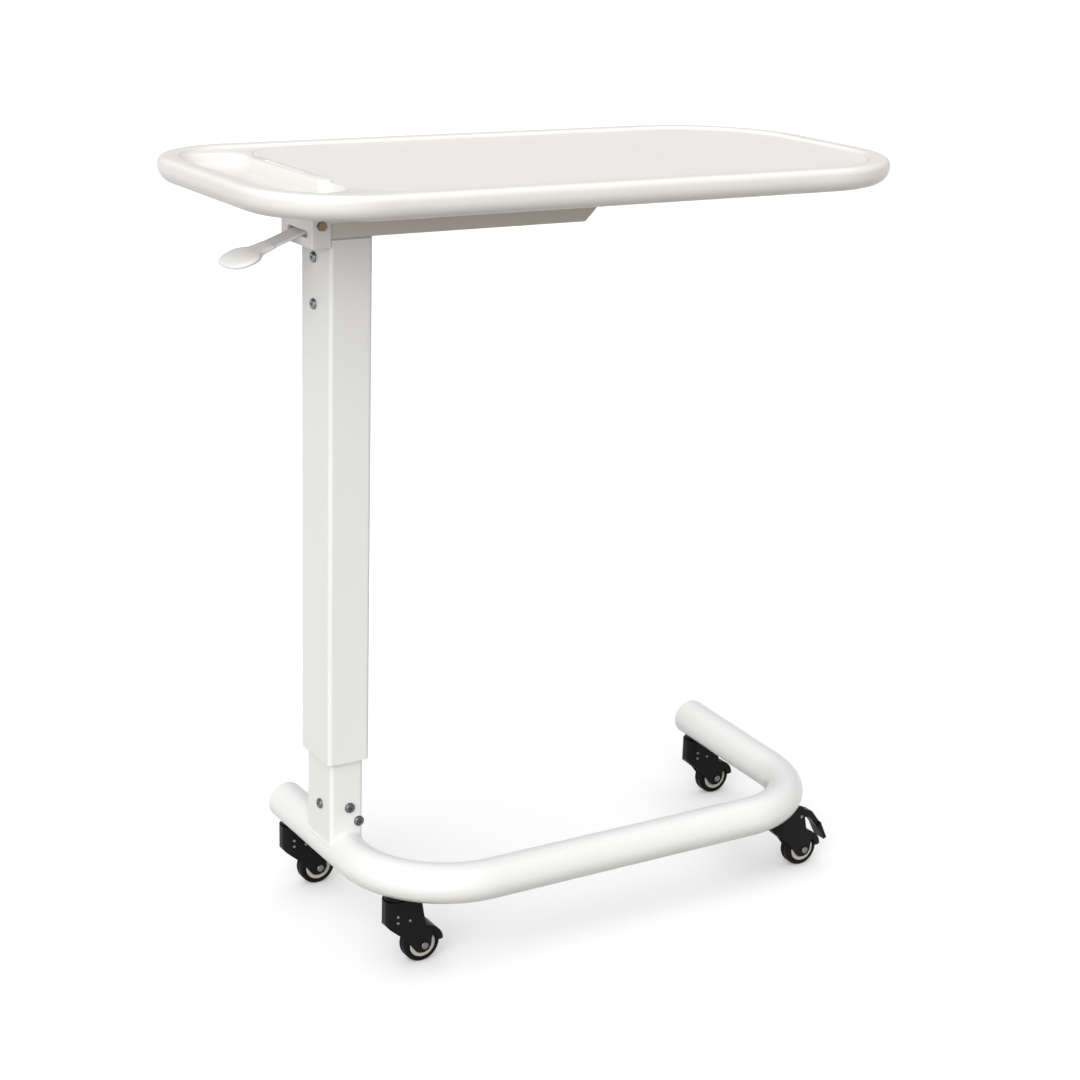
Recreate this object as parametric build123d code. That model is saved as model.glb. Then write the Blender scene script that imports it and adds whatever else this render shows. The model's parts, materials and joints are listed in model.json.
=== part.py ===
from build123d import *
import math
import os

# Overbed table: U-shaped tube base on four casters, telescopic side column with a
# locking gas spring, release lever, support channel and moulded tabletop.
# Units mm.  +Z up, the floor is z = 0, the tabletop length runs along X.

os.makedirs("parts", exist_ok=True)

# ---- driving dimensions -------------------------------------------------------
# tabletop
top_length = 800.0
top_width = 400.0
top_thickness = 26.0
corner_left = 110.0
corner_right = 145.0
rim_width = 24.0
deck_depth = 3.0
panel_thickness = 3.0
panel_left = -293.0
panel_corner = 84.0
panel_gap = 0.4
tray_depth = 15.0
tray_right = -298.0
block_left = -309.0
block_half = 86.0
tray_corner = 30.0
skin = 3.0
edge_inset = 15.0

# base
tube_dia = 45.0
tube_wall = 2.0
tube_height = 106.5
leg_left_x = -247.0
leg_right_x = 316.0
leg_splay = 17.5
rail_y = -163.0
leg_end_y = 128.0
bend_radius = 110.0

# column
column_x = leg_left_x
outer_x, outer_y, outer_wall, outer_corner = 50.0, 70.0, 2.0, 4.5
inner_x, inner_y, inner_wall, inner_corner = 40.0, 60.0, 2.0, 4.0
spigot_top = tube_height + 81
outer_bottom = tube_height + 110
outer_top = tube_height + 693
inner_top = tube_height + 445
glide_length = 40.0
running_gap = 0.05

# head
channel_bottom = outer_top + 2
channel_wall = 2.5
channel_left = -272.0
channel_right_low = 37.0
channel_right_high = 80.0
bracket_left = -294.0
bracket_bottom = channel_bottom - 9
pivot_x, pivot_z = -283.0, channel_bottom + 14

# gas spring
cylinder_dia, cylinder_bore = 22.0, 18.0
rod_dia = 10.0
cylinder_bottom, cylinder_top = tube_height + 35, tube_height + 405
piston_bottom = cylinder_bottom + 140
insert_bottom, insert_top = outer_top - 86, outer_top - 8

# casters
wheel_dia = 44.0
wheel_width = 17.0
trail = 31.5
fork_gap = 19.4
fork_arm = 3.5
hood_top = 81.4
fender_clearance = 0.8
fender_wall = 1.6
stem_dia = 10.0
boss_bottom = hood_top + 0.8

table_bottom = channel_bottom + 43
top_height = table_bottom + top_thickness
z_up = Plane.XY


def box(x0, x1, y0, y1, z0, z1):
    centre = Pos((x0 + x1) / 2, (y0 + y1) / 2, (z0 + z1) / 2)
    return centre * Box(x1 - x0, y1 - y0, z1 - z0)


def rod(x, y, z0, z1, dia):
    return Pos(x, y, (z0 + z1) / 2) * Cylinder(dia / 2, z1 - z0)


def rod_y(x, z, y0, y1, dia):
    return Pos(x, (y0 + y1) / 2, z) * Rot(90, 0, 0) * Cylinder(dia / 2, y1 - y0)


def rod_x(y, z, x0, x1, dia):
    return Pos((x0 + x1) / 2, y, z) * Rot(0, 90, 0) * Cylinder(dia / 2, x1 - x0)


def post(x, y, lx, ly, corner, z0, z1):
    return Pos(x, y, z0) * extrude(RectangleRounded(lx, ly, corner), z1 - z0)


def profile_xz(points, y0, y1):
    """Closed outline in the XZ plane extruded from y0 to y1."""
    plane = Plane(origin=(0, y1, 0), x_dir=(1, 0, 0), z_dir=(0, -1, 0))
    face = make_face(Polyline(*points, close=True))
    return extrude(plane * face, y1 - y0)


def save(node, shape, colour):
    solids = shape.solids()
    body = solids[0] if len(solids) == 1 else Compound(children=list(solids))
    body.label = node
    body.color = Color(*colour)
    export_step(body, f"parts/{node}.step")


WHITE = (0.93, 0.93, 0.92)
SHELL = (0.96, 0.95, 0.93)
PANEL = (0.88, 0.87, 0.86)
STEEL = (0.45, 0.45, 0.46)
BLACK = (0.03, 0.03, 0.03)
GREY = (0.7, 0.7, 0.68)
BRASS = (0.65, 0.5, 0.25)

# ---- base: one bent tube, open towards +Y --------------------------------------
leg_right_end = leg_right_x + leg_splay
centreline = FilletPolyline(
    (leg_left_x, leg_end_y, tube_height),
    (leg_left_x, rail_y, tube_height),
    (leg_right_x, rail_y, tube_height),
    (leg_right_end, leg_end_y, tube_height),
    radius=bend_radius,
)
start = Plane(origin=centreline @ 0, z_dir=centreline % 0)
tube_solid = sweep(start * Circle(tube_dia / 2), path=centreline)
tube_bore = sweep(start * Circle(tube_dia / 2 - tube_wall), path=centreline)
save("base_tube", tube_solid - tube_bore, WHITE)

for node, at, sign in (("tube_end_cap_left", 0, -1), ("tube_end_cap_right", 1, 1)):
    outward = (centreline % at) * sign
    plug = Cylinder(tube_dia / 2 - tube_wall, 16, align=(Align.CENTER, Align.CENTER, Align.MAX))
    lip = Cylinder(tube_dia / 2, 3, align=(Align.CENTER, Align.CENTER, Align.MIN))
    lip = fillet(lip.edges().sort_by(Axis.Z)[-1], 2.0)
    hollow = Cylinder(tube_dia / 2 - 5, 14, align=(Align.CENTER, Align.CENTER, Align.MAX))
    pad = Pos(0, 0, 3) * Cylinder(4, 1, align=(Align.CENTER, Align.CENTER, Align.MIN))
    cap = plug + lip - Pos(0, 0, -2) * hollow + pad
    save(node, Plane(origin=centreline @ at, z_dir=outward) * cap, WHITE)

# ---- fixed lower column ------------------------------------------------------------
cavity_x, cavity_y = inner_x - 2 * inner_wall, inner_y - 2 * inner_wall
cavity_corner = inner_corner - inner_wall
spigot = post(column_x, 0, cavity_x, cavity_y, cavity_corner, tube_height, spigot_top)
spigot -= post(column_x, 0, cavity_x - 8, cavity_y - 8, 1.0, 100, spigot_top + 1)
spigot -= tube_solid
lower = post(column_x, 0, inner_x, inner_y, inner_corner, tube_height - 9, inner_top)
lower -= post(column_x, 0, cavity_x, cavity_y, cavity_corner, 100, inner_top + 1)
lower -= tube_solid

side_screws = [(-4.0, tube_height + 53)]
front_screws = [(column_x + 3.5, tube_height + 53), (column_x + 15.0, tube_height + 35)]
screw_dia, head_dia, head_height = 5.0, 12.0, 3.2


def button_head(depth):
    """Button-head screw along +Z, head underside on z = 0, shank below."""
    head = Cylinder(head_dia / 2, head_height, align=(Align.CENTER, Align.CENTER, Align.MIN))
    head = fillet(head.edges().sort_by(Axis.Z)[-1], 2.6)
    shank = Cylinder(screw_dia / 2, depth, align=(Align.CENTER, Align.CENTER, Align.MAX))
    socket = extrude(RegularPolygon(1.75, 6), 2.0)
    return head + shank - Pos(0, 0, head_height - 2.0) * socket


def facing_minus_x(x, y, z):
    return Plane(origin=(x, y, z), x_dir=(0, 1, 0), z_dir=(-1, 0, 0))


def facing_minus_y(x, y, z):
    return Plane(origin=(x, y, z), x_dir=(1, 0, 0), z_dir=(0, -1, 0))


lower_screws = []
for y, z in side_screws:
    lower_screws.append(facing_minus_x(column_x - inner_x / 2, y, z) * button_head(6.0))
for x, z in front_screws:
    lower_screws.append(facing_minus_y(x, -inner_y / 2, z) * button_head(6.0))
holes = [rod_x(y, z, column_x - 30, column_x - 13.9, screw_dia) for y, z in side_screws]
holes += [rod_y(x, z, -40, -23.9, screw_dia) for x, z in front_screws]
for hole in holes:
    spigot -= hole
    lower -= hole
save("column_spigot", spigot, STEEL)
save("lower_column", lower, WHITE)
save("lower_column_screws", Compound(children=lower_screws), STEEL)

# ---- sliding outer column ------------------------------------------------------------
bore_x, bore_y = outer_x - 2 * outer_wall, outer_y - 2 * outer_wall
bore_corner = outer_corner - outer_wall
outer = post(column_x, 0, outer_x, outer_y, outer_corner, outer_bottom, outer_top)
outer -= post(column_x, 0, bore_x, bore_y, bore_corner, outer_bottom - 1, outer_top + 1)
upper_screws_z = (outer_top - 23.0, outer_top - 72.5)
for z in upper_screws_z:
    outer -= rod_x(3.0, z, column_x - 30, column_x - 20, screw_dia)
save("outer_column", outer, WHITE)
outer_face = column_x - outer_x / 2
outer_screws = [facing_minus_x(outer_face, 3.0, z) * button_head(14.0) for z in upper_screws_z]
save("outer_column_screws", Compound(children=outer_screws), STEEL)

glide_bottom = outer_bottom + 1
glide_low = post(column_x, 0, bore_x, bore_y, bore_corner, glide_bottom, glide_bottom + glide_length)
glide_low -= post(
    column_x, 0, inner_x + 2 * running_gap, inner_y + 2 * running_gap, inner_corner + running_gap,
    outer_bottom, outer_bottom + glide_length + 2,
)
save("column_glide_lower", glide_low, GREY)
glide_up = post(
    column_x, 0, bore_x - 2 * running_gap, bore_y - 2 * running_gap, bore_corner - running_gap,
    inner_top - glide_length, inner_top + 2,
)
glide_up -= post(column_x, 0, inner_x, inner_y, inner_corner, inner_top - glide_length - 1, inner_top)
glide_up -= post(column_x, 0, cavity_x - 4, cavity_y - 4, 2.0, inner_top - 1, inner_top + 3)
save("column_glide_upper", glide_up, GREY)

# ---- locking gas spring ----------------------------------------------------------------
guide_length = 15.0
cylinder = rod(column_x, 0, cylinder_bottom, cylinder_top, cylinder_dia)
cylinder -= rod(column_x, 0, cylinder_bottom + 8, cylinder_top + 1, cylinder_bore)
save("gas_spring_cylinder", cylinder, BLACK)
guide = rod(column_x, 0, cylinder_top - guide_length, cylinder_top, cylinder_bore)
guide += rod(column_x, 0, cylinder_top, cylinder_top + 3, cylinder_dia)
guide -= rod(column_x, 0, cylinder_top - guide_length - 1, cylinder_top + 4, rod_dia + 2 * running_gap)
save("gas_spring_guide", guide, GREY)
anchor = box(column_x - 5, column_x + 5, -24, 24, cylinder_bottom - 12, cylinder_bottom - 8)
anchor += rod(column_x, 0, cylinder_bottom - 8, cylinder_bottom, 12)
save("gas_spring_anchor", anchor, STEEL)

pin_dia = 5.0
piston_rod = rod(column_x, 0, piston_bottom, insert_bottom + 30, rod_dia)
piston_rod += rod(column_x, 0, piston_bottom, piston_bottom + 8, cylinder_bore - 2 * running_gap)
piston_rod -= rod(column_x, 0, insert_bottom - 20, insert_bottom + 31, pin_dia + 2 * running_gap)
save("gas_spring_rod", piston_rod, STEEL)
insert = post(column_x, 0, bore_x, bore_y, bore_corner, insert_bottom, insert_top)
insert -= rod(column_x, 0, insert_bottom - 1, insert_bottom + 30, rod_dia)
insert -= rod(column_x, 0, insert_bottom + 20, insert_top + 1, pin_dia + 2 * running_gap)
for z in upper_screws_z:
    insert -= rod_x(3.0, z, column_x - 30, column_x - 10.9, screw_dia)
save("column_insert", insert, GREY)
pin_top = channel_bottom + 5
valve_pin = rod(column_x, 0, insert_bottom - 12, pin_top, pin_dia)
valve_pin += rod(column_x, 0, pin_top - 3, pin_top, 9)
valve_pin = fillet(valve_pin.edges().sort_by(Axis.Z)[-1], 1.0)
save("valve_pin", valve_pin, STEEL)

# ---- head: top plate, support channel and bracket ----------------------------------------
plate = post(column_x, 0, outer_x, outer_y, outer_corner, outer_top, channel_bottom)
plate -= post(column_x, 0, 30, 44, 4, outer_top - 1, channel_bottom + 1)
save("column_top_plate", plate, STEEL)

half = outer_y / 2
side_outline = [
    (channel_left, channel_bottom),
    (channel_right_low, channel_bottom),
    (channel_right_high, table_bottom),
    (channel_left, table_bottom),
]
slope = (channel_right_high - channel_right_low) / (table_bottom - channel_bottom)
lean = channel_wall * math.hypot(1, slope)
hollow_outline = [
    (channel_left - 1, channel_bottom + channel_wall),
    (channel_right_low - lean + slope * channel_wall, channel_bottom + channel_wall),
    (channel_right_high - lean + slope, table_bottom + 1),
    (channel_left - 1, table_bottom + 1),
]
channel = profile_xz(side_outline, -half, half)
channel -= profile_xz(hollow_outline, -half + channel_wall, half - channel_wall)
flange_right = channel_right_high - 12
flange = box(channel_left + 6, flange_right, half, half + 16, table_bottom - channel_wall, table_bottom)
channel += flange + mirror(flange, Plane.XZ)
channel -= post(column_x, 0, 30, 44, 4, channel_bottom - 1, channel_bottom + 5)
fixing_points = [(x, s * (half + 8)) for x in (-250.0, -100.0, 50.0) for s in (-1, 1)]
for x, y in fixing_points:
    channel -= rod(x, y, table_bottom - 5, table_bottom + 1, 6.4)
save("support_channel", channel, WHITE)

bracket_y = 37.0
bracket = box(bracket_left, channel_left, -bracket_y, bracket_y, bracket_bottom, table_bottom)
bracket = fillet(bracket.edges().filter_by(Axis.Z).group_by(Axis.X)[0], 2.5)
bracket_wall = 2.5
bracket_inside = bracket_y - bracket_wall
bracket -= box(
    bracket_left + bracket_wall, channel_left + 1, -bracket_inside, bracket_inside,
    bracket_bottom - 1, table_bottom - bracket_wall,
)
slot_bottom, slot_top = channel_bottom + 0.6, channel_bottom + 8
bracket -= box(bracket_left - 1, bracket_left + 3, -27, 20, slot_bottom, slot_top)
for side in (-1, 1):
    tab_low, tab_high = sorted((side * half, side * bracket_y))
    bracket += box(channel_left, channel_left + 22, tab_low, tab_high, pivot_z + 2, table_bottom - 4)
bracket -= rod_y(pivot_x, pivot_z, -40, 40, 6.0)
save("head_bracket", bracket, WHITE)

bolt = rod_y(pivot_x, pivot_z, -bracket_y, bracket_y + 4, 6.0)
hex_head = extrude(RegularPolygon(5.2, 6), 4.0)
bolt += facing_minus_y(pivot_x, -bracket_y, pivot_z) * hex_head
save("lever_pivot_bolt", bolt, BRASS)
nut = facing_minus_y(pivot_x, bracket_y + 4, pivot_z) * extrude(RegularPolygon(5.2, 6), 4.0)
nut -= rod_y(pivot_x, pivot_z, bracket_y - 1, bracket_y + 6, 6.0)
save("lever_pivot_nut", nut, STEEL)

# ---- release lever -------------------------------------------------------------------------
arm_slope = math.radians(20.5)
reach_out = 60.0
reach_in = 40.0
drop = 7.0
ct, st = math.cos(arm_slope), math.sin(arm_slope)
root = (pivot_x, pivot_z - drop)
tip = (root[0] - reach_out * ct, root[1] - reach_out * st)
arm_thick = 3.0
outer_strip = [
    (root[0], root[1] - arm_thick / 2),
    (root[0], root[1] + arm_thick / 2),
    (tip[0], tip[1] + arm_thick / 2),
    (tip[0], tip[1] - arm_thick / 2),
]
arm = profile_xz(outer_strip, -14, 14)
finger_z = pin_top + 0.6
inner_strip = [
    (root[0], root[1] - arm_thick / 2),
    (root[0], root[1] + arm_thick / 2),
    (root[0] + 14, finger_z + arm_thick + 1.0),
    (root[0] + reach_in, finger_z + arm_thick),
    (root[0] + reach_in, finger_z),
    (root[0] + 14, finger_z + 1.0),
]
arm += profile_xz(inner_strip, -9, 9)
arm += rod_y(pivot_x, pivot_z, -26, 26, 12)
arm += box(pivot_x - 4, pivot_x + 4, -9, 9, root[1] - 1, pivot_z)
arm -= rod_y(pivot_x, pivot_z, -27, 27, 6.0 + 2 * running_gap)
save("lever_arm", arm, WHITE)

paddle_reach = 80.0
paddle = Box(36, 62, 8.4)
paddle = fillet(paddle.edges().filter_by(Axis.Z), 16)
paddle = fillet(paddle.faces().sort_by(Axis.Z)[-1].edges(), 3.6)
paddle = fillet(paddle.faces().sort_by(Axis.Z)[0].edges(), 3.6)
tilt = Rot(0, -math.degrees(arm_slope), 0)
paddle = Pos(root[0] - paddle_reach * ct, 0, root[1] - paddle_reach * st) * tilt * paddle
neck_reach = 58.0
neck = Box(30, 33, 6.0)
neck = fillet(neck.edges().filter_by(Axis.X), 2.4)
paddle += Pos(root[0] - neck_reach * ct, 0, root[1] - neck_reach * st) * tilt * neck
paddle -= arm
save("lever_paddle", paddle, WHITE)

# ---- tabletop ---------------------------------------------------------------------------------


def top_outline(inset):
    """Plan outline of the tabletop moved inwards by inset."""
    x0, x1 = -top_length / 2 + inset, top_length / 2 - inset
    y1 = top_width / 2 - inset
    left, right = corner_left - inset, corner_right - inset
    sketch = make_face(Polyline((x0, -y1), (x1, -y1), (x1, y1), (x0, y1), close=True))
    sketch = fillet(sketch.vertices().group_by(Axis.X)[0], left)
    return fillet(sketch.vertices().sort_by(Axis.X)[-2:], right)


def top_slab(inset, z0, z1):
    return Pos(0, 0, z0) * extrude(top_outline(inset), z1 - z0)


deck_z = top_height - deck_depth
seat_z = deck_z - panel_thickness
tray_z = top_height - tray_depth

tray_left = -top_length / 2 + rim_width + 3
tray_half = 145.0
tray_face = make_face(
    Polyline(
        (tray_left, -tray_half),
        (tray_right, -tray_half),
        (tray_right, tray_half),
        (tray_left, tray_half),
        close=True,
    )
)
tray_face = fillet(tray_face.vertices().group_by(Axis.X)[-1], tray_corner)
tray_face = fillet(tray_face.vertices().sort_by(Axis.X)[:2], tray_right - tray_left - tray_corner - 1)
panel_right = top_length / 2 - rim_width - 1
panel_half = top_width / 2 - rim_width - 1
panel_face = make_face(
    Polyline(
        (panel_left, -panel_half),
        (panel_right, -panel_half),
        (panel_right, panel_half),
        (panel_left, panel_half),
        close=True,
    )
)
panel_face = fillet(panel_face.vertices().group_by(Axis.X)[0], panel_corner)
panel_face = fillet(panel_face.vertices().sort_by(Axis.X)[-2:], corner_right - rim_width - 1)

shell = top_slab(0, table_bottom, top_height)
shell = fillet(shell.faces().sort_by(Axis.Z)[-1].edges(), 7.0)
shell = fillet(shell.faces().sort_by(Axis.Z)[0].edges(), 14.5)
shell -= top_slab(rim_width, deck_z, top_height + 1)
shell -= Pos(0, 0, seat_z) * extrude(panel_face, 20)
tray_cut = Pos(0, 0, tray_z) * extrude(tray_face, 20)
tray_cut = fillet(tray_cut.faces().sort_by(Axis.Z)[0].edges(), 5.0)
shell -= tray_cut
cavity = top_slab(edge_inset, table_bottom - 1, seat_z - skin)
cavity -= Pos(0, 0, tray_z - skin) * extrude(offset(tray_face, skin), 30)
shell -= cavity
block_mid = (block_left + panel_left) / 2
block = box(block_left, panel_left - 0.8, -block_half, block_half, tray_z - 1, top_height)
block = fillet(block.edges().filter_by(Axis.Z), 3.0)
block = fillet(block.faces().sort_by(Axis.Z)[-1].edges(), 1.5)
block -= box(block_mid - 1.5, block_mid + 1.5, -42, 58, top_height - 2, top_height + 1)
shell += block
save("tabletop_upper", shell, SHELL)

inlay = Pos(0, 0, seat_z) * extrude(offset(panel_face, -panel_gap), panel_thickness)
save("inlay_panel", inlay, PANEL)

lower_tray = top_slab(edge_inset, table_bottom, table_bottom + skin)
rib_bottom = table_bottom + skin
for y in (-90.0, 90.0):
    lower_tray += box(-270, 330, y - 1.5, y + 1.5, rib_bottom, seat_z - skin)
for x in (-150.0, 0.0, 150.0):
    lower_tray += box(x - 1.5, x + 1.5, -150, 150, rib_bottom, seat_z - skin)
for x, y in fixing_points:
    lower_tray += rod(x, y, rib_bottom, rib_bottom + 11, 16)
for x, y in fixing_points:
    lower_tray -= rod(x, y, table_bottom - 1, rib_bottom + 9, 9)
save("tabletop_lower", lower_tray, SHELL)

inserts, screws = [], []
for x, y in fixing_points:
    sleeve = rod(x, y, table_bottom, rib_bottom + 9, 9)
    inserts.append(sleeve - rod(x, y, table_bottom - 1, rib_bottom + 10, 6))
    head = Cylinder(6, 3.5, align=(Align.CENTER, Align.CENTER, Align.MAX))
    head = fillet(head.edges().sort_by(Axis.Z)[0], 2.2)
    head = Pos(x, y, table_bottom - channel_wall) * head
    screws.append(head + rod(x, y, table_bottom - channel_wall, rib_bottom + 8, 6))
save("tabletop_inserts", Compound(children=inserts), BRASS)
save("tabletop_screws", Compound(children=screws), STEEL)

# ---- casters ---------------------------------------------------------------------------------------
bend = math.radians(33)
bend_x = bend_radius * (1 - math.cos(bend))
bend_y = bend_radius * (1 - math.sin(bend))
right_back_x = leg_right_x + leg_splay * (118 - rail_y) / (leg_end_y - rail_y)
stations = {
    "front_left": (leg_left_x + bend_x, rail_y + bend_y),
    "front_right": (leg_right_x - bend_x + 3.0, rail_y + bend_y),
    "back_left": (leg_left_x, 116.0),
    "back_right": (right_back_x, 116.0),
}

hub_dia = 31.5
axle_dia = 6.0
wheel_r = wheel_dia / 2
fork_out = fork_gap / 2 + fork_arm
fender_in = wheel_r + fender_clearance
fender_out = fender_in + fender_wall
pedal_pivot_x, pedal_pivot_z = 24.0, 68.0
pedal_pin_dia = 4.0


def on_fender(degrees):
    """Point of the fender's outer arc, the angle measured from +X about the axle."""
    angle = math.radians(degrees)
    return (trail + fender_out * math.cos(angle), wheel_r + fender_out * math.sin(angle))


def fork_outline():
    """Side outline of hood, fender and arms; the arms end round the axle."""
    low, high = on_fender(8), on_fender(86)
    arc = ThreePointArc(low, on_fender(47), high)
    corner = (-11, 49.6)
    hood_front = [(30, 62), (27, hood_top - 1.5), (22, hood_top)]
    hood_back = [(-13.4, hood_top), (-13.4, 55), (-12.7, 52)]
    hood = Polyline(high, *hood_front, *hood_back, corner)
    arm_end = (40.3, 28.5)
    arm_points = [(8, 34), (20.5, 17.5), (24.5, 14.6), (31, 13.6), (36.5, 15.8), (39.5, 21)]
    arm = Polyline(corner, *arm_points, arm_end)
    skirt_start, skirt_end = (42.4, 35), (48.2, 25)
    skirt = ThreePointArc(skirt_start, (46.2, 30.4), skirt_end)
    return make_face(arc + hood + arm + Line(arm_end, skirt_start) + skirt + Line(skirt_end, low))


def caster_fork():
    """Hooded fork around the local stem axis, trailing towards +X."""
    side_plane = Plane(origin=(0, fork_out, 0), x_dir=(1, 0, 0), z_dir=(0, -1, 0))
    fork = extrude(side_plane * fork_outline(), 2 * fork_out)
    plan = Pos(24, 0, 0) * extrude(RectangleRounded(75, 2 * fork_out, 11.5), 100)
    fork = fork & plan
    wheel_space = rod_y(trail, wheel_r, -fork_gap / 2, fork_gap / 2, 2 * fender_in)
    wheel_space += box(-5, trail, -fork_gap / 2, fork_gap / 2, 0, wheel_r + 20)
    wheel_space += box(trail, 80, -fork_gap / 2, fork_gap / 2, 0, wheel_r)
    fork -= wheel_space
    fork -= rod_y(trail, wheel_r, -30, 30, axle_dia)
    fork -= rod(0, 0, 50, 90, stem_dia + 2 * running_gap)
    fork -= rod(0, 0, 40, 58, 15.8)
    return fork


fork_shape = caster_fork()
tyre_shape = rod_y(trail, wheel_r, -wheel_width / 2, wheel_width / 2, wheel_dia)
tyre_shape = fillet(tyre_shape.edges().filter_by(GeomType.CIRCLE), 4.0)
tyre_shape -= rod_y(trail, wheel_r, -20, 20, hub_dia)
hub_shape = rod_y(trail, wheel_r, -wheel_width / 2 + 0.4, wheel_width / 2 - 0.4, hub_dia)
for side in (-1, 1):
    low, high = sorted((side * (wheel_width / 2 - 3), side * (wheel_width / 2 + 1)))
    hub_shape -= rod_y(trail, wheel_r, low, high, 23)
    low, high = sorted((side * (wheel_width / 2 - 3.5), side * (fork_gap / 2)))
    hub_shape += rod_y(trail, wheel_r, low, high, 11)
hub_shape -= rod_y(trail, wheel_r, -20, 20, axle_dia + 2 * running_gap)
axle_shape = rod_y(trail, wheel_r, -fork_out, fork_out, axle_dia)
for side in (-1, 1):
    low, high = sorted((side * fork_out, side * (fork_out + 1.8)))
    cap = rod_y(trail, wheel_r, low, high, 8.5)
    outer_edges = cap.edges().filter_by(GeomType.CIRCLE).sort_by(Axis.Y)
    axle_shape += fillet(outer_edges[-1 if side > 0 else 0], 1.2)
stem_shape = rod(0, 0, 53.5, tube_height, stem_dia)
stem_shape += rod(0, 0, hood_top + 0.2, boss_bottom, 20)
stem_shape += rod(0, 0, 53.5, 57.5, 15)

for name, (x, y) in stations.items():
    place = Pos(x, y, 0)
    boss = place * rod(0, 0, boss_bottom, tube_height, 24)
    boss = boss - tube_solid
    boss -= place * rod(0, 0, boss_bottom - 1, tube_height, stem_dia)
    boss = boss.solids().sort_by(Axis.Z)[0]
    save(f"caster_boss_{name}", boss, WHITE)
    save(f"caster_stem_{name}", place * stem_shape - tube_solid, STEEL)
    fork_here = fork_shape
    if name == "front_right":
        fork_here = fork_shape - box(12, 60, -fork_gap / 2 + 1.6, fork_gap / 2 - 1.6, 56, 90)
        fork_here -= rod_y(pedal_pivot_x, pedal_pivot_z, -30, 30, pedal_pin_dia)
    save(f"caster_fork_{name}", place * fork_here, BLACK)
    save(f"caster_tyre_{name}", place * tyre_shape, BLACK)
    save(f"caster_hub_{name}", place * hub_shape, GREY)
    save(f"caster_axle_{name}", place * axle_shape, STEEL)

# ---- brake pedal on the front right caster --------------------------------------------------------------
pedal_x, pedal_y = stations["front_right"]
pedal_upper = [(17, 62), (17, 74), (30, 75), (45, 68.5), (58, 51.5), (68, 30)]
pedal_lower = [(64, 28), (54, 46), (42, 61), (28, 64)]
pedal = profile_xz(pedal_upper + pedal_lower, -6.4, 6.4)
pedal += profile_xz([(57.5, 52.5), (68, 30), (64, 28), (54, 47)], -9.5, 9.5)
pedal -= rod_y(pedal_pivot_x, pedal_pivot_z, -30, 30, pedal_pin_dia + 2 * running_gap)
save("brake_pedal", Pos(pedal_x, pedal_y, 0) * pedal, BLACK)
pedal_pin = rod_y(pedal_pivot_x, pedal_pivot_z, -fork_out, fork_out, pedal_pin_dia)
save("brake_pin", Pos(pedal_x, pedal_y, 0) * pedal_pin, STEEL)
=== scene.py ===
"""Overbed table: moulded tabletop on a telescopic side column and a U-shaped tube base on casters."""

import json
import math

import bmesh
import bpy
from mathutils import Matrix, Vector


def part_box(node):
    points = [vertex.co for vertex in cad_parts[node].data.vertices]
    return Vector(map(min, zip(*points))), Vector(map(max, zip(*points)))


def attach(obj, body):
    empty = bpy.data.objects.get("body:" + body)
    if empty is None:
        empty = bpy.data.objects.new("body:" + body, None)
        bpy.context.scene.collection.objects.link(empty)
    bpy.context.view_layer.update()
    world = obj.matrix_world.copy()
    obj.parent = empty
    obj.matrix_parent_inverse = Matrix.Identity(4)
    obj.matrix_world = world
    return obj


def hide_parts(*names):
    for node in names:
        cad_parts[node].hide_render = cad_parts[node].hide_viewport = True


MM = 0.001
STATIONS = ("front_left", "front_right", "back_left", "back_right")
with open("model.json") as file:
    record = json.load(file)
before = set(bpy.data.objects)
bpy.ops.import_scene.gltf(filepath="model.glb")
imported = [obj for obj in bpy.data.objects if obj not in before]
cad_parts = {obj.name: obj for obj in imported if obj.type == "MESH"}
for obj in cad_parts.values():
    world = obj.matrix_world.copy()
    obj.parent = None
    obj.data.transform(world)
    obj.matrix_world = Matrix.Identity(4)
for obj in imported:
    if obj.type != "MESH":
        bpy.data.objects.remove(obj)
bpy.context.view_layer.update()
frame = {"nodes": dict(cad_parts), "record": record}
nodes = frame["nodes"]


# ---- camera ---------------------------------------------------------------------
def aim_camera():
    """Camera at the reference angle: yaw from +Y towards +X, pitch below the horizon, roll."""
    yaw, pitch, roll = 0.5542, 0.3043, 0.0324
    place = Vector((-1.26718, -2.06973, 1.19405))
    flat = Vector((math.sin(yaw), math.cos(yaw), 0.0))
    ahead = flat * math.cos(pitch) - Vector((0, 0, 1)) * math.sin(pitch)
    level = Vector((math.cos(yaw), -math.sin(yaw), 0.0))
    upright = level.cross(ahead)
    right = level * math.cos(roll) + upright * math.sin(roll)
    up = upright * math.cos(roll) - level * math.sin(roll)
    data = bpy.data.cameras.new("camera")
    data.sensor_width = 36.0
    data.lens = 73.93133
    data.clip_start, data.clip_end = 0.05, 50.0
    camera = bpy.data.objects.new("camera", data)
    axes = Matrix((right, up, -ahead)).transposed().to_4x4()
    camera.matrix_world = Matrix.Translation(place) @ axes
    bpy.context.scene.collection.objects.link(camera)
    bpy.context.scene.camera = camera


aim_camera()


# ---- materials --------------------------------------------------------------------
def new_material(name, colour, rough, metal=0.0, coat=0.0, specular=0.5):
    mat = bpy.data.materials.new(name)
    mat.use_nodes = True
    shader = mat.node_tree.nodes["Principled BSDF"]
    shader.inputs["Base Color"].default_value = (*colour, 1.0)
    shader.inputs["Roughness"].default_value = rough
    shader.inputs["Metallic"].default_value = metal
    shader.inputs["Coat Weight"].default_value = coat
    shader.inputs["Coat Roughness"].default_value = 0.12
    shader.inputs["Specular IOR Level"].default_value = specular
    return mat, mat.node_tree, shader


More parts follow.
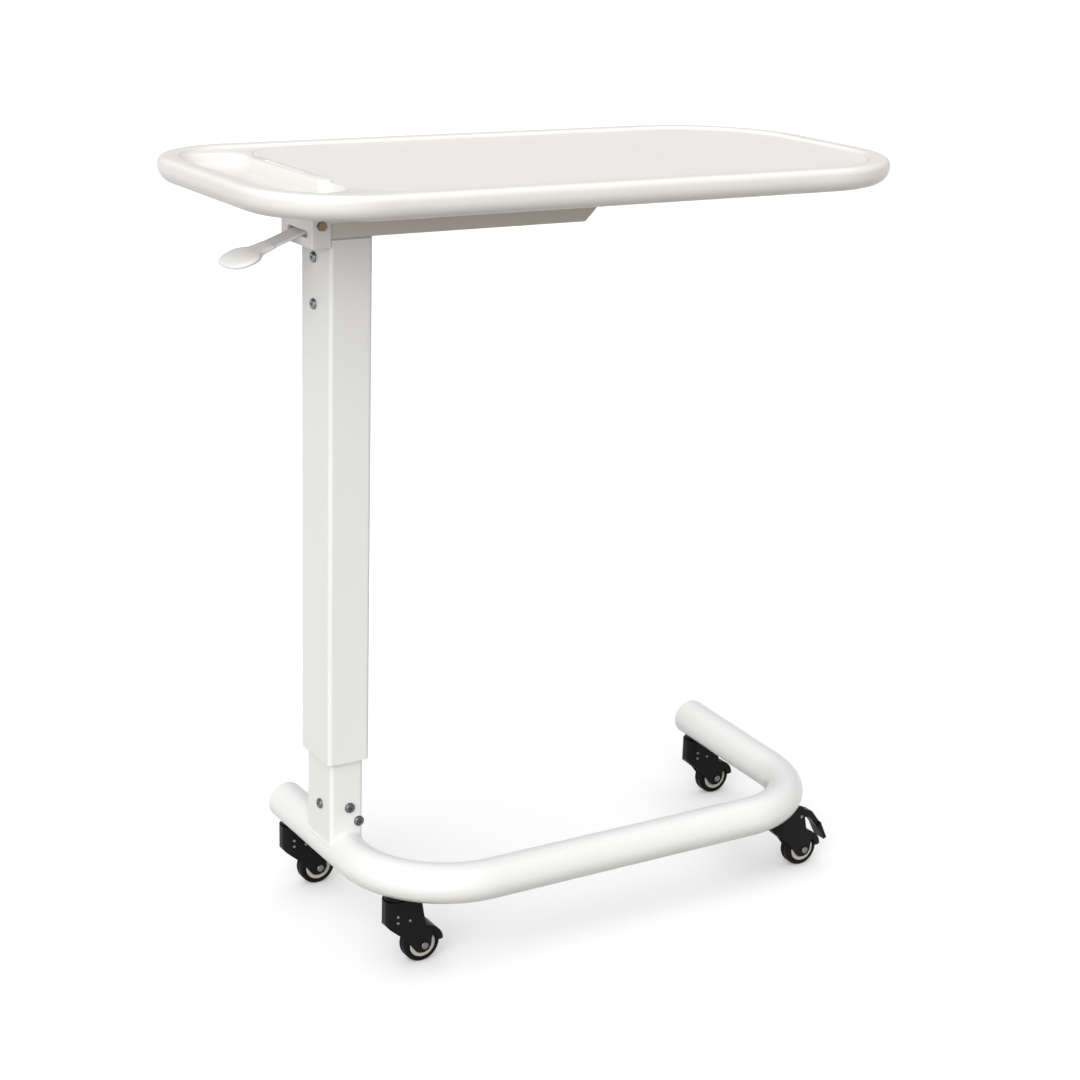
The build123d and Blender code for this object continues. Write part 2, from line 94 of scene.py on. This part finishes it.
def noise_node(tree, scale, detail=2.0, stretch=(1.0, 1.0, 1.0)):
    """Noise in the object's own coordinates; stretch lengthens the grain along an axis."""
    coords = tree.nodes.new("ShaderNodeTexCoord")
    mapping = tree.nodes.new("ShaderNodeMapping")
    mapping.inputs["Scale"].default_value = stretch
    tex = tree.nodes.new("ShaderNodeTexNoise")
    tex.inputs["Scale"].default_value = scale
    tex.inputs["Detail"].default_value = detail
    tree.links.new(coords.outputs["Object"], mapping.inputs["Vector"])
    tree.links.new(mapping.outputs["Vector"], tex.inputs["Vector"])
    return tex.outputs["Fac"]


def ramp(tree, fac, low, high, first=0.3, last=0.7):
    node = tree.nodes.new("ShaderNodeValToRGB")
    node.color_ramp.elements[0].position = first
    node.color_ramp.elements[0].color = (*low, 1.0)
    node.color_ramp.elements[1].position = last
    node.color_ramp.elements[1].color = (*high, 1.0)
    tree.links.new(fac, node.inputs["Fac"])
    return node.outputs["Color"]


def span(tree, fac, low, high, first=0.3, last=0.7):
    node = tree.nodes.new("ShaderNodeMapRange")
    node.inputs["From Min"].default_value = first
    node.inputs["From Max"].default_value = last
    node.inputs["To Min"].default_value = low
    node.inputs["To Max"].default_value = high
    tree.links.new(fac, node.inputs["Value"])
    return node.outputs["Result"]


def bump(tree, shader, fac, strength, height):
    node = tree.nodes.new("ShaderNodeBump")
    node.inputs["Strength"].default_value = strength
    node.inputs["Distance"].default_value = height
    tree.links.new(fac, node.inputs["Height"])
    tree.links.new(node.outputs["Normal"], shader.inputs["Normal"])


def surface(name, low, high, rough, grain, height,
            metal=0.0, coat=0.0, specular=0.5, stretch=(1.0, 1.0, 1.0)):
    """Finish with a slow colour drift, a varied roughness and a fine grain."""
    mat, tree, shader = new_material(name, low, rough[0], metal, coat, specular)
    tree.links.new(ramp(tree, noise_node(tree, 2.5, 0.0), low, high, 0.2, 0.8), shader.inputs["Base Color"])
    tree.links.new(span(tree, noise_node(tree, 9.0, 0.0), *rough, 0.2, 0.8), shader.inputs["Roughness"])
    bump(tree, shader, noise_node(tree, grain, 2.0, stretch), 0.3, height)
    return mat


def speckled(name, low, high, rough, grain, height, fleck):
    """Laminate: a slow tone, a fine fleck in the colour and a leathery grain."""
    mat, tree, shader = new_material(name, low, rough[0])
    mix = tree.nodes.new("ShaderNodeMix")
    mix.data_type = "RGBA"
    mix.inputs["Factor"].default_value = 0.35
    tree.links.new(ramp(tree, noise_node(tree, 5.0, 3.0), low, high), mix.inputs["A"])
    tree.links.new(ramp(tree, noise_node(tree, fleck, 1.0), low, high, 0.42, 0.58), mix.inputs["B"])
    tree.links.new(mix.outputs["Result"], shader.inputs["Base Color"])
    tree.links.new(span(tree, noise_node(tree, 60.0), *rough), shader.inputs["Roughness"])
    bump(tree, shader, noise_node(tree, grain, 2.0), 0.3, height)
    return mat


along_z = (1.0, 1.0, 0.04)
mats = {
    "white_paint": surface("white_paint", (0.80, 0.80, 0.795), (0.815, 0.815, 0.81),
                           (0.28, 0.32), 650, 0.00012, coat=0.2),
    "channel_paint": surface("channel_paint", (0.62, 0.58, 0.53), (0.65, 0.61, 0.56),
                             (0.34, 0.42), 650, 0.00012),
    "white_plastic": surface("white_plastic", (0.87, 0.87, 0.86), (0.885, 0.885, 0.875),
                             (0.34, 0.40), 1200, 0.00008),
    "abs_shell": surface("abs_shell", (0.80, 0.780, 0.748), (0.815, 0.795, 0.763),
                         (0.30, 0.34), 1500, 0.00006, coat=0.1),
    "panel": speckled("panel", (0.80, 0.775, 0.76), (0.83, 0.805, 0.79),
                      (0.40, 0.48), 1500, 0.00010, 900),
    "black_plastic": surface("black_plastic", (0.004, 0.004, 0.004), (0.008, 0.008, 0.008),
                             (0.30, 0.40), 1400, 0.0001, specular=0.1),
    "caster_hub": surface("caster_hub", (0.52, 0.49, 0.43), (0.58, 0.55, 0.48),
                          (0.34, 0.44), 1400, 0.00006),
    "tyre": surface("tyre", (0.004, 0.004, 0.004), (0.008, 0.008, 0.008),
                    (0.45, 0.60), 900, 0.00012, specular=0.08),
    "steel": surface("steel", (0.14, 0.14, 0.145), (0.24, 0.24, 0.245),
                     (0.26, 0.40), 900, 0.00006, metal=1.0),
    "grey_plastic": surface("grey_plastic", (0.45, 0.45, 0.45), (0.50, 0.50, 0.50),
                            (0.45, 0.55), 1200, 0.0001),
    "black_paint": surface("black_paint", (0.02, 0.02, 0.02), (0.03, 0.03, 0.03),
                           (0.30, 0.40), 700, 0.0001),
    "brass": surface("brass", (0.12, 0.092, 0.052), (0.20, 0.155, 0.092),
                     (0.34, 0.48), 900, 0.00008, metal=1.0),
    "aluminium": surface("aluminium", (0.58, 0.58, 0.59), (0.66, 0.66, 0.67),
                         (0.35, 0.45), 800, 0.0001, metal=1.0, stretch=along_z),
}

slots = {s["node"]: s["material_slot"] for s in frame["record"]["subparts"]}
for name, piece in nodes.items():
    piece.data.materials.clear()
    piece.data.materials.append(mats[slots[name]])


# ---- mesh helpers -----------------------------------------------------------------
def loft(bm, rings, closed=False, start_cap=False, end_cap=False):
    """Skin of quads through rings with the same number of points."""
    loops = [[bm.verts.new(point) for point in ring] for ring in rings]
    pairs = list(zip(loops, loops[1:]))
    if closed:
        pairs.append((loops[-1], loops[0]))
    for first, second in pairs:
        count = len(first)
        for i in range(count):
            j = (i + 1) % count
            bm.faces.new((first[i], first[j], second[j], second[i]))
    if start_cap:
        bm.faces.new(loops[0])
    if end_cap:
        bm.faces.new(loops[-1])
    return loops


def make_piece(name, bm, slot, body, replaced=(), sharp=40.0):
    """Finished piece: outward normals, smooth shading, its material, its body."""
    bmesh.ops.remove_doubles(bm, verts=bm.verts, dist=0.01 * MM)
    bmesh.ops.recalc_face_normals(bm, faces=bm.faces)
    mesh = bpy.data.meshes.new(name)
    bm.to_mesh(mesh)
    bm.free()
    mesh.shade_smooth()
    mesh.set_sharp_from_angle(angle=math.radians(sharp))
    mesh.materials.append(mats[slot])
    piece = bpy.data.objects.new(name, mesh)
    bpy.context.scene.collection.objects.link(piece)
    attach(piece, body)
    if replaced:
        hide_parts(*replaced)
    return piece


def rounded_outline(x0, x1, y0, y1, left, right, z, steps=20):
    """Rounded rectangle as a ring of points, with its own radius for each end."""
    ring = []
    corners = ((x0 + left, y0 + left, left, 180), (x1 - right, y0 + right, right, 270),
               (x1 - right, y1 - right, right, 0), (x0 + left, y1 - left, left, 90))
    for cx, cy, radius, start in corners:
        for i in range(steps + 1):
            angle = math.radians(start + 90.0 * i / steps)
            ring.append(Vector((cx + radius * math.cos(angle), cy + radius * math.sin(angle), z)))
    return ring


def arc_points(cx, cz, radius, first, last, steps):
    """Points (across, up) along an arc, angles in degrees."""
    points = []
    for i in range(steps + 1):
        angle = math.radians(first + (last - first) * i / steps)
        points.append((cx + radius * math.cos(angle), cz + radius * math.sin(angle)))
    return points


# ---- tabletop shell -----------------------------------------------------------------
def tabletop_shell():
    """Moulded shell: bullnose rim, recessed deck, end tray and divider block."""
    low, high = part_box("tabletop_upper")
    panel_low, panel_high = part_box("inlay_panel")
    corner_left, corner_right = 110 * MM, 145 * MM
    bottom, top = low.z, high.z
    deck = top - 3 * MM

    def outline(inset, z):
        return rounded_outline(low.x + inset, high.x - inset, low.y + inset, high.y - inset,
                               corner_left - inset, corner_right - inset, z)

    bm = bmesh.new()
    rim = [(15.2 * MM, bottom + 17 * MM), (15.2 * MM, bottom + 0.4 * MM)]
    rim += [(14.8 * MM * (1 - math.cos(t)), bottom + 16 * MM * (1 - math.sin(t)))
            for t in [math.radians(84 - 7 * k) for k in range(13)]]
    rim += arc_points(7.5 * MM, top - 7.5 * MM, 7.5 * MM, 180, 92, 10)
    rim += [(14 * MM, top + 0.25 * MM), (19.5 * MM, top)]
    rim += arc_points(20.5 * MM, top - 2.2 * MM, 2.0 * MM, 80, 10, 5)
    rim += arc_points(24.8 * MM, deck + 1.6 * MM, 1.6 * MM, 200, 270, 4)
    rim += [(25.5 * MM, deck - 3 * MM), (15.2 * MM, deck - 4 * MM)]
    loft(bm, [outline(inset, z) for inset, z in rim], closed=True)

    tray_x0 = low.x + 27 * MM
    tray_x1 = -298 * MM
    tray_half = 145 * MM
    lip = 1.2 * MM

    def tray_ring(inset, z):
        return rounded_outline(tray_x0 + inset, tray_x1 - inset, inset - tray_half, tray_half - inset,
                               35 * MM - inset, 30 * MM - inset, z)

    tray_floor = top - 15 * MM
    bowl = [(-lip, deck), (-0.4 * lip, deck - 0.3 * lip), (0.0, deck - lip),
            (0.6 * MM, tray_floor + 5 * MM)]
    bowl += [(5.6 * MM - 5 * MM * math.cos(t), tray_floor + 5 * MM - 5 * MM * math.sin(t))
             for t in (0.3, 0.65, 1.0, 1.3, 1.57)]
    loft(bm, [tray_ring(inset, z) for inset, z in bowl], end_cap=True)

    gap = 0.5 * MM
    panel_corner = 84 * MM
    panel_end = corner_right - 25 * MM

    def panel_ring(z):
        return rounded_outline(panel_low.x - gap, panel_high.x + gap,
                               panel_low.y - gap, panel_high.y + gap, panel_corner, panel_end, z)

    loft(bm, [panel_ring(deck), panel_ring(deck - 3 * MM)])
    edges = []
    for ring in (outline(23 * MM, deck), tray_ring(-lip, deck), panel_ring(deck)):
        verts = [bm.verts.new(point) for point in ring]
        edges += [bm.edges.new((verts[i], verts[(i + 1) % len(verts)])) for i in range(len(verts))]
    bmesh.ops.triangle_fill(bm, edges=edges, use_beauty=True, normal=(0, 0, 1))

    block_x0 = -309 * MM
    block_x1 = -293.6 * MM
    block_half = 86 * MM

    def block_ring(inset, z):
        return rounded_outline(block_x0 + inset, block_x1 - inset, inset - block_half, block_half - inset,
                               4 * MM - inset * 0.6, 4 * MM - inset * 0.6, z, 6)

    groove_x0, groove_x1 = -303.6 * MM, -299.2 * MM
    groove_y0, groove_y1 = -42 * MM, 58 * MM
    groove_radius = 2.2 * MM

    def groove_ring(inset, z):
        return rounded_outline(groove_x0 + inset, groove_x1 - inset, groove_y0 + inset, groove_y1 - inset,
                               groove_radius - inset, groove_radius - inset, z, 6)

    rings = [block_ring(0, tray_floor - 1 * MM), block_ring(0, top - 1.6 * MM),
             block_ring(0.45 * MM, top - 0.5 * MM), block_ring(1.5 * MM, top), groove_ring(0, top),
             groove_ring(0.3 * MM, top - 0.4 * MM), groove_ring(0.6 * MM, top - 1.4 * MM)]
    loft(bm, rings, start_cap=True, end_cap=True)
    make_piece("tabletop_shell", bm, "abs_shell", "column", ["tabletop_upper"], 42.0)


tabletop_shell()


# ---- casters ----------------------------------------------------------------------------
def lathe(bm, centre, profile, steps=72):
    """Closed profile of (radius, y offset) points turned about the Y axis through centre."""
    rings = []
    for i in range(steps):
        angle = 2 * math.pi * i / steps
        spoke = Vector((math.cos(angle), 0, math.sin(angle)))
        rings.append([centre + spoke * radius + Vector((0, y, 0)) for radius, y in profile])
    loft(bm, rings, closed=True)


def caster_tyre(station):
    """Tyre with a rounded tread, a fine parting line and soft shoulders."""
    low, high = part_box(f"caster_tyre_{station}")
    centre = (low + high) / 2
    radius, half = (high.z - low.z) / 2, (high.y - low.y) / 2
    profile = [(15.7 * MM, -half + 0.8 * MM), (16.4 * MM, -half), (radius - 4 * MM, -half)]
    profile += [(radius - 4 * MM + r, y - half + 4 * MM) for r, y in arc_points(0, 0, 4 * MM, 285, 350, 6)]
    profile += [(radius, -0.5 * MM), (radius - 0.35 * MM, 0.0), (radius, 0.5 * MM)]
    profile += [(r, -y) for r, y in reversed(profile[:-3])]
    bm = bmesh.new()
    lathe(bm, centre, profile)
    make_piece(f"tyre_{station}", bm, "tyre", f"wheel_{station}", [f"caster_tyre_{station}"], 50.0)


def caster_hub(station):
    """Hub with a light raised ring round a dished web and a bearing boss."""
    low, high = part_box(f"caster_hub_{station}")
    tyre_low, tyre_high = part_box(f"caster_tyre_{station}")
    centre = (tyre_low + tyre_high) / 2
    half = (tyre_high.y - tyre_low.y) / 2
    boss = (high.y - low.y) / 2
    side = [(3.1 * MM, -boss), (5.0 * MM, -boss), (5.5 * MM, 0.5 * MM - boss), (5.7 * MM, 4 * MM - half),
            (6.4 * MM, 3.4 * MM - half), (9.9 * MM, 3.2 * MM - half), (10.7 * MM, 2.6 * MM - half),
            (11.0 * MM, 0.5 * MM - half), (11.6 * MM, -0.2 * MM - half), (14.8 * MM, -0.2 * MM - half),
            (15.7 * MM, 0.7 * MM - half)]
    bm = bmesh.new()
    lathe(bm, centre, side + [(r, -y) for r, y in reversed(side)])
    make_piece(f"hub_{station}", bm, "caster_hub", f"wheel_{station}", [f"caster_hub_{station}"], 45.0)


def hood_rivets(station):
    """Three small domed rivets on each face of the hood."""
    low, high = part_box(f"caster_fork_{station}")
    stem_x = low.x + 13.4 * MM
    rivets = ((-2.0, 57.0), (-2.0, 64.5), (13.0, 57.0))
    dome = ((1.9, -0.4), (1.9, 0.2), (1.5, 0.7), (0.8, 1.0))
    bm = bmesh.new()
    for dx, z in rivets:
        for face, sign in ((low.y, -1), (high.y, 1)):
            rings = []
            for radius, rise in dome:
                ring = []
                for i in range(16):
                    angle = 2 * math.pi * i / 16
                    across = dx + radius * math.cos(angle)
                    up = z + radius * math.sin(angle)
                    ring.append(Vector((stem_x + across * MM, face + sign * rise * MM, up * MM)))
                rings.append(ring)
            loft(bm, rings, start_cap=True, end_cap=True)
    make_piece(f"hood_rivets_{station}", bm, "steel", f"swivel_{station}")


for station in STATIONS:
    caster_tyre(station)
    caster_hub(station)
    if station != "front_right":
        hood_rivets(station)


# ---- release lever paddle ----------------------------------------------------------------
def lever_paddle():
    """Soft oval paddle swept along the lever's slope, wide and thick at the outer end."""
    slope = math.radians(20.5)
    out = Vector((-math.cos(slope), 0, -math.sin(slope)))
    up = Vector((-math.sin(slope), 0, math.cos(slope)))
    root = Vector((-283 * MM, 0, 808.5 * MM))
    squareness = 0.72
    # reach along the slope, half width, half thickness, all in mm
    sections = ((42.5, 15.2, 2.0), (44, 16.4, 2.9), (55, 16.9, 3.1), (60, 18.0, 3.4),
                (63, 21.5, 3.9), (66, 26.5, 4.3), (70, 29.8, 4.6), (76, 31.0, 4.8),
                (82, 30.8, 4.6), (88, 28.6, 4.1), (93, 24.0, 3.2), (96.3, 17.5, 2.2), (97.9, 9.5, 1.1))
    rings = []
    for reach, half_width, half_thick in sections:
        ring = []
        for i in range(48):
            angle = 2 * math.pi * i / 48
            across, rise = math.cos(angle), math.sin(angle)
            across = math.copysign(abs(across) ** squareness, across) * half_width
            rise = math.copysign(abs(rise) ** squareness, rise) * half_thick
            ring.append(root + out * reach * MM + Vector((0, across * MM, 0)) + up * rise * MM)
        rings.append(ring)
    bm = bmesh.new()
    loft(bm, rings, start_cap=True, end_cap=True)
    piece = make_piece("paddle_moulding", bm, "white_plastic", "lever", ["lever_paddle"], 75.0)
    smooth = piece.modifiers.new("smooth", "SUBSURF")
    smooth.levels = smooth.render_levels = 2


lever_paddle()


# ---- weld beads ------------------------------------------------------------------------------
def bead(bm, path, radius):
    """Closed bead of a round section along a ring of points."""
    rings = []
    count = len(path)
    for i in range(count):
        along = (path[(i + 1) % count] - path[i - 1]).normalized()
        side = along.cross(Vector((0, 0, 1))).normalized()
        top = side.cross(along).normalized()
        ripple = radius * (1.0 + 0.10 * math.sin(i * 1.7) + 0.05 * math.sin(i * 0.63))
        rings.append([path[i] + (side * math.cos(a) + top * math.sin(a)) * ripple
                      for a in [2 * math.pi * k / 12 for k in range(12)]])
    loft(bm, rings, closed=True)


def dense(ring, step):
    """Ring with extra points so that no run is longer than step."""
    points = []
    for first, second in zip(ring, ring[1:] + ring[:1]):
        pieces = max(1, round((second - first).length / step))
        points += [first.lerp(second, k / pieces) for k in range(pieces)]
    return points


def column_weld():
    """Bead where the coped end of the lower column sits on the base tube."""
    low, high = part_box("lower_column")
    tube_low, tube_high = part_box("base_tube")
    tube_radius = 22.5 * MM
    tube_z = (tube_low.z + tube_high.z) / 2
    middle_x = (low.x + high.x) / 2
    ring = rounded_outline(low.x, high.x, low.y, high.y, 4 * MM, 4 * MM, 0.0, 5)
    path = []
    for point in dense(ring, 1.5 * MM):
        across = point.x - middle_x
        path.append(Vector((point.x, point.y, tube_z + math.sqrt(tube_radius**2 - across**2))))
    bm = bmesh.new()
    bead(bm, path, 1.5 * MM)
    make_piece("column_weld", bm, "white_paint", "base", sharp=80.0)


column_weld()


# ---- rolled edges of the metal and plastic parts -----------------------------------------------
def soften(names, width):
    """Small rounded edge on a CAD part, so that it catches the light as real edges do."""
    for name in names:
        edge = nodes[name].modifiers.new("edge", "BEVEL")
        edge.width = width
        edge.segments = 2
        edge.limit_method = "ANGLE"
        edge.angle_limit = math.radians(50)


soften([f"caster_fork_{station}" for station in STATIONS], 0.9 * MM)
soften(["brake_pedal"], 0.9 * MM)


# ---- floor and light -----------------------------------------------------------------
def add_floor():
    """White floor that catches shadows and glows faintly, but sends no diffuse light back up."""
    bpy.ops.mesh.primitive_plane_add(size=60.0)
    floor = bpy.context.object
    floor.name = "floor"
    mat, _, shader = new_material("floor", (0.97, 0.97, 0.97), 0.9)
    shader.inputs["Emission Color"].default_value = (1.0, 1.0, 1.0, 1.0)
    shader.inputs["Emission Strength"].default_value = 0.10
    floor.data.materials.append(mat)
    floor.visible_diffuse = False


def add_sun(name, towards, strength, spread):
    """Sun that shines from the direction towards, with soft shadows of that angular spread."""
    data = bpy.data.lights.new(name, "SUN")
    data.energy = strength
    data.angle = math.radians(spread)
    lamp = bpy.data.objects.new(name, data)
    lamp.matrix_world = Vector(towards).to_track_quat("Z", "Y").to_matrix().to_4x4()
    bpy.context.scene.collection.objects.link(lamp)


def add_world(above, below):
    """Studio surround: light grey above the horizon, dimmer and slightly warm below it."""
    world = bpy.data.worlds.new("studio")
    world.use_nodes = True
    tree = world.node_tree
    coords = tree.nodes.new("ShaderNodeTexCoord")
    split = tree.nodes.new("ShaderNodeSeparateXYZ")
    tree.links.new(coords.outputs["Generated"], split.inputs["Vector"])
    height = tree.nodes.new("ShaderNodeMath")
    height.operation = "MULTIPLY_ADD"
    tree.links.new(split.outputs["Z"], height.inputs[0])
    height.inputs[1].default_value = 0.5
    height.inputs[2].default_value = 0.5
    tint = ramp(tree, height.outputs["Value"], below, above, 0.44, 0.5)
    tree.links.new(tint, tree.nodes["Background"].inputs["Color"])
    tree.nodes["Background"].inputs["Strength"].default_value = 1.0
    bpy.context.scene.world = world


add_floor()
add_sun("key", (-0.62, -0.58, 0.42), 2.2, 60)
add_sun("fill", (-0.55, -0.83, 0.10), 0.6, 60)
add_sun("top", (0.1, 0.05, 1.0), 0.7, 80)
add_world(above=(0.55, 0.55, 0.55), below=(0.16, 0.143, 0.122))
bpy.context.scene.view_settings.view_transform = "Standard"
